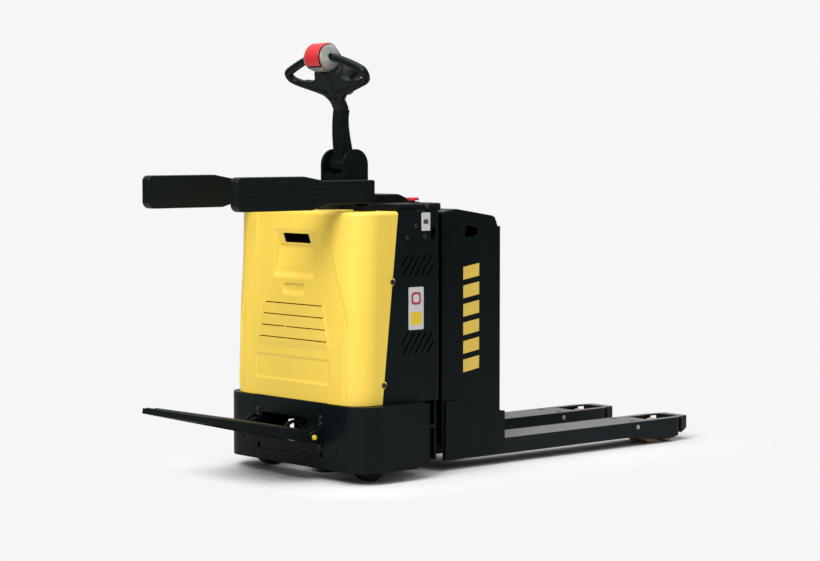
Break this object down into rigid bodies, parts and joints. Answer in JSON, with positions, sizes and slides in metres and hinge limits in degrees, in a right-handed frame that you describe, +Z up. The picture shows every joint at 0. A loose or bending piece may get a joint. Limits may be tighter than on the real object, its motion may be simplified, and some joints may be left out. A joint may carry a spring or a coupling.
{
  "type": "electric pallet truck",
  "caption": "Ride-on electric pallet truck with lifting forks, fold-up operator platform, folding side arms, steering tiller and a battery carriage.",
  "frame": {"origin": "middle of the truck's outline, on the floor", "axes": "+X towards the fork tips, +Y to the truck's left as it faces the forks, +Z up"},
  "size_m": [2.3386, 0.79, 1.5347],
  "materials": {
    "black_steel": "satin powder coat",
    "yellow_cover": "satin moulded plastic",
    "black_plastic": "fine textured moulding",
    "arm_pad": "textured soft moulding",
    "zinc": "zinc plated",
    "dark_fastener": "black oxide",
    "yellow_pin": "yellow chromate",
    "roller_tread": "polyurethane tread",
    "castor_tread": "dark brown tread",
    "drive_tread": "dark rubber tread",
    "red_button": "satin red plastic",
    "grey_control": "grey moulded plastic",
    "mat_rubber": "ribbed rubber",
    "cast_iron": "painted casting",
    "battery_case": "battery cell cases",
    "gauge": "gauge face"
  },
  "bodies": {
    "power_unit": {"chassis_frame": "black_steel", "skirt_left": "black_steel", "skirt_right": "black_steel", "front_plate": "black_steel", "front_bolts": "dark_fastener", "platform_lugs": "black_steel", "platform_pin": "yellow_pin", "motor_cover": "yellow_cover", "side_panel_left": "black_steel", "side_panel_right": "black_steel", "panel_bolts": "dark_fastener", "top_cover": "black_plastic", "dash_gauge": "gauge", "key_lock": "zinc", "stop_base": "black_plastic", "arm_posts": "black_steel", "mast_rails": "black_steel", "lift_cylinder": "black_steel", "pump_unit": "black_steel", "slew_ring": "cast_iron"},
    "carriage": {"carriage_frame": "black_steel", "boss_plates": "black_steel", "battery": "battery_case", "guide_shoes": "cast_iron", "lift_ram": "zinc", "fork_left": "black_steel", "fork_right": "black_steel", "lever_pins": "zinc"},
    "lid": {"battery_lid": "black_plastic"},
    "rod_left": {"push_rod_left": "zinc"},
    "load_lever_left": {"lever_left": "cast_iron"},
    "load_bogie_left": {"bogie_left": "cast_iron"},
    "load_roller_front_left": {"roller_front_left": "roller_tread"},
    "load_roller_rear_left": {"roller_rear_left": "roller_tread"},
    "castor_left": {"castor_fork_left": "zinc"},
    "castor_roll_left": {"castor_wheel_left": "castor_tread"},
    "arm_left": {"side_arm_left": "arm_pad"},
    "rod_right": {"push_rod_right": "zinc"},
    "load_lever_right": {"lever_right": "cast_iron"},
    "load_bogie_right": {"bogie_right": "cast_iron"},
    "load_roller_front_right": {"roller_front_right": "roller_tread"},
    "load_roller_rear_right": {"roller_rear_right": "roller_tread"},
    "castor_right": {"castor_fork_right": "zinc"},
    "castor_roll_right": {"castor_wheel_right": "castor_tread"},
    "arm_right": {"side_arm_right": "arm_pad"},
    "steering": {"drive_gearbox": "cast_iron", "drive_motor": "cast_iron", "tiller_bracket": "black_steel"},
    "drive_roll": {"drive_wheel": "drive_tread"},
    "tiller": {"tiller_arm": "black_plastic", "tiller_head": "black_plastic"},
    "belly": {"belly_button": "red_button"},
    "butterfly": {"throttle": "grey_control"},
    "horn": {"horn_button": "grey_control"},
    "raise_key": {"lift_button": "grey_control"},
    "lower_key": {"lower_button": "grey_control"},
    "platform": {"platform_deck": "black_steel", "platform_mat": "mat_rubber"},
    "ignition_key": {"key": "zinc"},
    "stop": {"stop_button": "red_button"}
  },
  "joints": [
    {"name": "lift", "type": "slide", "parent": "power_unit", "child": "carriage", "axis": [0, 0, 1], "range_m": [0, 0.11]},
    {"name": "lid_hinge", "type": "hinge", "parent": "carriage", "child": "lid", "pos_m": [0.09134, 0, 0.884], "axis": [0, 1, 0], "range_deg": [0, 75]},
    {"name": "push_rod_slide_left", "type": "slide", "parent": "carriage", "child": "rod_left", "axis": [1, 0, 0], "range_m": [0, 0.034]},
    {"name": "lever_pivot_left", "type": "hinge", "parent": "carriage", "child": "load_lever_left", "pos_m": [0.84734, 0.2035, 0.0744], "axis": [0, 1, 0], "range_deg": [0, 51.4]},
    {"name": "bogie_pivot_left", "type": "hinge", "parent": "load_lever_left", "child": "load_bogie_left", "pos_m": [1.00534, 0.2035, 0.042], "axis": [0, -1, 0], "range_deg": [0, 51.4]},
    {"name": "roller_front_spin_left", "type": "hinge", "parent": "load_bogie_left", "child": "load_roller_front_left", "pos_m": [1.05134, 0.2035, 0.042], "axis": [0, 1, 0], "continuous": true},
    {"name": "roller_rear_spin_left", "type": "hinge", "parent": "load_bogie_left", "child": "load_roller_rear_left", "pos_m": [0.95934, 0.2035, 0.042], "axis": [0, 1, 0], "continuous": true},
    {"name": "castor_swivel_left", "type": "hinge", "parent": "power_unit", "child": "castor_left", "pos_m": [-0.48766, 0.277, 0.178], "axis": [0, 0, 1], "continuous": true},
    {"name": "castor_spin_left", "type": "hinge", "parent": "castor_left", "child": "castor_roll_left", "pos_m": [-0.51766, 0.277, 0.0625], "axis": [0, 1, 0], "continuous": true},
    {"name": "arm_fold_left", "type": "hinge", "parent": "power_unit", "child": "arm_left", "pos_m": [-0.51266, 0.257, 1.013], "axis": [0, -1, 0], "range_deg": [-90, 0]},
    {"name": "push_rod_slide_right", "type": "slide", "parent": "carriage", "child": "rod_right", "axis": [1, 0, 0], "range_m": [0, 0.034]},
    {"name": "lever_pivot_right", "type": "hinge", "parent": "carriage", "child": "load_lever_right", "pos_m": [0.84734, -0.2035, 0.0744], "axis": [0, 1, 0], "range_deg": [0, 51.4]},
    {"name": "bogie_pivot_right", "type": "hinge", "parent": "load_lever_right", "child": "load_bogie_right", "pos_m": [1.00534, -0.2035, 0.042], "axis": [0, -1, 0], "range_deg": [0, 51.4]},
    {"name": "roller_front_spin_right", "type": "hinge", "parent": "load_bogie_right", "child": "load_roller_front_right", "pos_m": [1.05134, -0.2035, 0.042], "axis": [0, 1, 0], "continuous": true},
    {"name": "roller_rear_spin_right", "type": "hinge", "parent": "load_bogie_right", "child": "load_roller_rear_right", "pos_m": [0.95934, -0.2035, 0.042], "axis": [0, 1, 0], "continuous": true},
    {"name": "castor_swivel_right", "type": "hinge", "parent": "power_unit", "child": "castor_right", "pos_m": [-0.48766, -0.277, 0.178], "axis": [0, 0, 1], "continuous": true},
    {"name": "castor_spin_right", "type": "hinge", "parent": "castor_right", "child": "castor_roll_right", "pos_m": [-0.51766, -0.277, 0.0625], "axis": [0, 1, 0], "continuous": true},
    {"name": "arm_fold_right", "type": "hinge", "parent": "power_unit", "child": "arm_right", "pos_m": [-0.51266, -0.257, 1.013], "axis": [0, -1, 0], "range_deg": [-90, 0]},
    {"name": "steer", "type": "hinge", "parent": "power_unit", "child": "steering", "pos_m": [-0.46766, 0, 0.29], "axis": [0, 0, 1], "range_deg": [-90, 90]},
    {"name": "drive_spin", "type": "hinge", "parent": "steering", "child": "drive_roll", "pos_m": [-0.46766, 0, 0.115], "axis": [0, 1, 0], "continuous": true},
    {"name": "tiller_tilt", "type": "hinge", "parent": "steering", "child": "tiller", "pos_m": [-0.39766, 0, 1.103], "axis": [0, -1, 0], "range_deg": [0, 75], "stiffness_Nm_per_rad": 20, "springref_deg": -14.32},
    {"name": "belly_press", "type": "slide", "parent": "tiller", "child": "belly", "axis": [0.9063, 0, 0.4226], "range_m": [0, 0.005], "stiffness_N_per_m": 600, "springref_m": -0.002},
    {"name": "throttle_turn", "type": "hinge", "parent": "tiller", "child": "butterfly", "pos_m": [-0.50092, 0, 1.4841], "axis": [0, 1, 0], "range_deg": [-30, 30], "stiffness_Nm_per_rad": 0.6},
    {"name": "horn_press", "type": "slide", "parent": "tiller", "child": "horn", "axis": [-0.9063, 0, -0.4226], "range_m": [0, 0.003], "stiffness_N_per_m": 300, "springref_m": -0.002},
    {"name": "raise_press", "type": "slide", "parent": "tiller", "child": "raise_key", "axis": [-0.9063, 0, -0.4226], "range_m": [0, 0.003], "stiffness_N_per_m": 300, "springref_m": -0.002},
    {"name": "lower_press", "type": "slide", "parent": "tiller", "child": "lower_key", "axis": [-0.9063, 0, -0.4226], "range_m": [0, 0.003], "stiffness_N_per_m": 300, "springref_m": -0.002},
    {"name": "platform_fold", "type": "hinge", "parent": "power_unit", "child": "platform", "pos_m": [-0.69766, 0, 0.16], "axis": [0, 1, 0], "range_deg": [-10.8, 66], "stiffness_Nm_per_rad": 120, "springref_deg": 15.47},
    {"name": "key_turn", "type": "hinge", "parent": "power_unit", "child": "ignition_key", "pos_m": [-0.36266, 0.12, 1], "axis": [0, 0, 1], "range_deg": [-90, 0]},
    {"name": "stop_press", "type": "slide", "parent": "power_unit", "child": "stop", "axis": [0, 0, -1], "range_m": [0, 0.004]}
  ],
  "couplings": [
    {"joint": "push_rod_slide_left", "follows": "lift", "ratio": 0.3},
    {"joint": "lever_pivot_left", "follows": "lift", "rad_per_m": 7.9976},
    {"joint": "bogie_pivot_left", "follows": "lift", "rad_per_m": 7.9976},
    {"joint": "push_rod_slide_right", "follows": "lift", "ratio": 0.3},
    {"joint": "lever_pivot_right", "follows": "lift", "rad_per_m": 7.9976},
    {"joint": "bogie_pivot_right", "follows": "lift", "rad_per_m": 7.9976}
  ]
}
